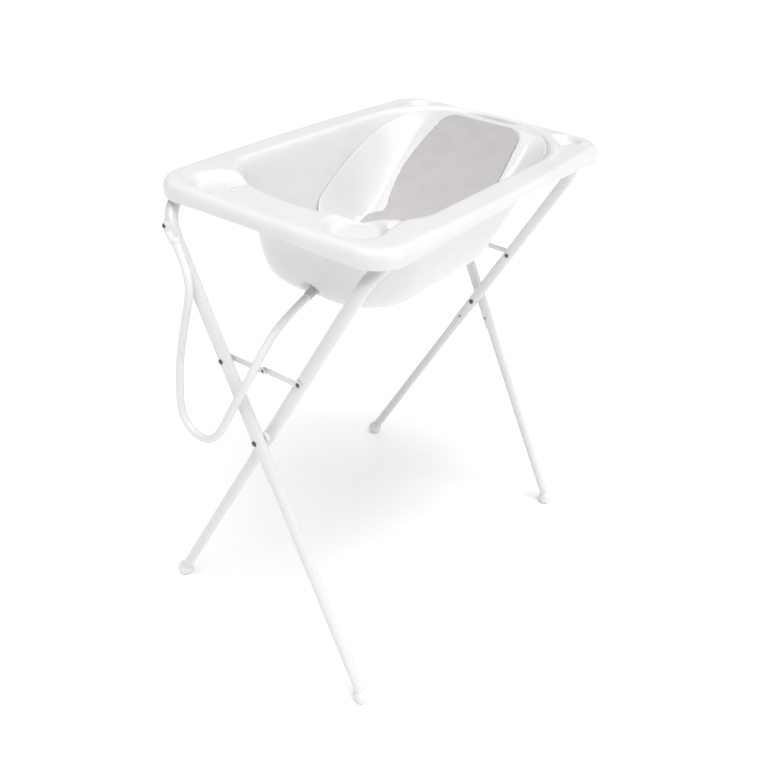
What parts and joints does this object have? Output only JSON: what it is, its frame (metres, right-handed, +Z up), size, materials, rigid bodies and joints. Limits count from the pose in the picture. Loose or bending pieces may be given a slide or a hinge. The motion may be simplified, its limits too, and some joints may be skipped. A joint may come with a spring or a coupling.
{
  "type": "baby bath on folding stand",
  "caption": "Baby bath tub with soap dishes, a reclined padded bath support and a drain hose, set on a folding stand of crossed legs.",
  "frame": {"origin": "on the floor, midway between the four feet", "axes": "+X along the tub toward its head end, +Y across the tub toward the long side the outer legs reach up to, +Z up"},
  "size_m": [0.9006, 0.5904, 1.0082],
  "materials": {
    "frame_paint": "white powder coat, satin",
    "tub_plastic": "white moulded plastic, soft gloss",
    "foot_plastic": "white moulded plastic",
    "support_plastic": "white moulded plastic, soft gloss",
    "pad_rubber": "light grey soft rubber, matt",
    "hose_plastic": "white flexible plastic, semi-matt",
    "drain_plastic": "dark grey plastic",
    "seal_rubber": "black rubber",
    "dark_rivet": "blackened steel"
  },
  "bodies": {
    "stand_outer": {"outer_upper_frame": "frame_paint", "near_outer_lower_leg": "frame_paint", "near_outer_foot": "foot_plastic", "near_outer_joint_screw": "dark_rivet", "far_outer_lower_leg": "frame_paint", "far_outer_foot": "foot_plastic", "far_outer_joint_screw": "dark_rivet", "near_pivot_rivet": "dark_rivet", "near_pivot_spacer": "foot_plastic", "far_pivot_rivet": "dark_rivet", "far_pivot_spacer": "foot_plastic", "near_outer_brace_rivet": "dark_rivet", "far_outer_brace_rivet": "dark_rivet", "hose_clip": "foot_plastic", "hose_clip_rivet": "dark_rivet"},
    "stand_inner": {"inner_upper_frame": "frame_paint", "near_inner_lower_leg": "frame_paint", "near_inner_foot": "foot_plastic", "near_inner_joint_screw": "dark_rivet", "far_inner_lower_leg": "frame_paint", "far_inner_foot": "foot_plastic", "far_inner_joint_screw": "dark_rivet", "near_inner_brace_rivet": "dark_rivet", "far_inner_brace_rivet": "dark_rivet"},
    "near_outer_brace": {"near_outer_brace_link": "frame_paint", "near_brace_centre_rivet": "dark_rivet"},
    "far_outer_brace": {"far_outer_brace_link": "frame_paint", "far_brace_centre_rivet": "dark_rivet"},
    "near_inner_brace": {"near_inner_brace_link": "frame_paint"},
    "far_inner_brace": {"far_inner_brace_link": "frame_paint"},
    "tub": {"tub_shell": "tub_plastic", "drain_strainer": "drain_plastic", "drain_gasket": "seal_rubber", "drain_spigot": "drain_plastic", "drain_hose": "hose_plastic", "hose_end_cap": "foot_plastic"},
    "plug": {"drain_plug": "seal_rubber"},
    "support": {"bath_support": "support_plastic", "support_pad": "pad_rubber"}
  },
  "joints": [
    {"name": "stand_fold", "type": "hinge", "parent": "stand_outer", "child": "stand_inner", "pos_m": [0, 0, 0.539], "axis": [-1, 0, 0], "range_deg": [0, 52]},
    {"name": "near_outer_brace_fold", "type": "hinge", "parent": "stand_outer", "child": "near_outer_brace", "pos_m": [-0.405, 0.08028, 0.68998], "axis": [1, 0, 0], "range_deg": [0, 60]},
    {"name": "far_outer_brace_fold", "type": "hinge", "parent": "stand_outer", "child": "far_outer_brace", "pos_m": [0.405, 0.08028, 0.68998], "axis": [1, 0, 0], "range_deg": [0, 60]},
    {"name": "near_inner_brace_fold", "type": "hinge", "parent": "stand_inner", "child": "near_inner_brace", "pos_m": [-0.4, -0.08028, 0.68998], "axis": [-1, 0, 0], "range_deg": [0, 60]},
    {"name": "far_inner_brace_fold", "type": "hinge", "parent": "stand_inner", "child": "far_inner_brace", "pos_m": [0.4, -0.08028, 0.68998], "axis": [-1, 0, 0], "range_deg": [0, 60]},
    {"name": "tub_lift", "type": "slide", "parent": "stand_outer", "child": "tub", "axis": [0, 0.2169, 0.9762], "range_m": [0, 0.96]},
    {"name": "plug_pull", "type": "slide", "parent": "tub", "child": "plug", "axis": [0.9397, 0, 0.342], "range_m": [0, 0.1]},
    {"name": "support_lift", "type": "slide", "parent": "tub", "child": "support", "axis": [0, 0, 1], "range_m": [0, 0.25]}
  ],
  "couplings": [
    {"joint": "near_outer_brace_fold", "follows": "stand_fold", "ratio": 1.148},
    {"joint": "far_outer_brace_fold", "follows": "stand_fold", "ratio": 1.148},
    {"joint": "near_inner_brace_fold", "follows": "stand_fold", "ratio": 1.148},
    {"joint": "far_inner_brace_fold", "follows": "stand_fold", "ratio": 1.148},
    {"joint": "tub_lift", "follows": "stand_fold", "m_per_rad": 1.0565}
  ]
}
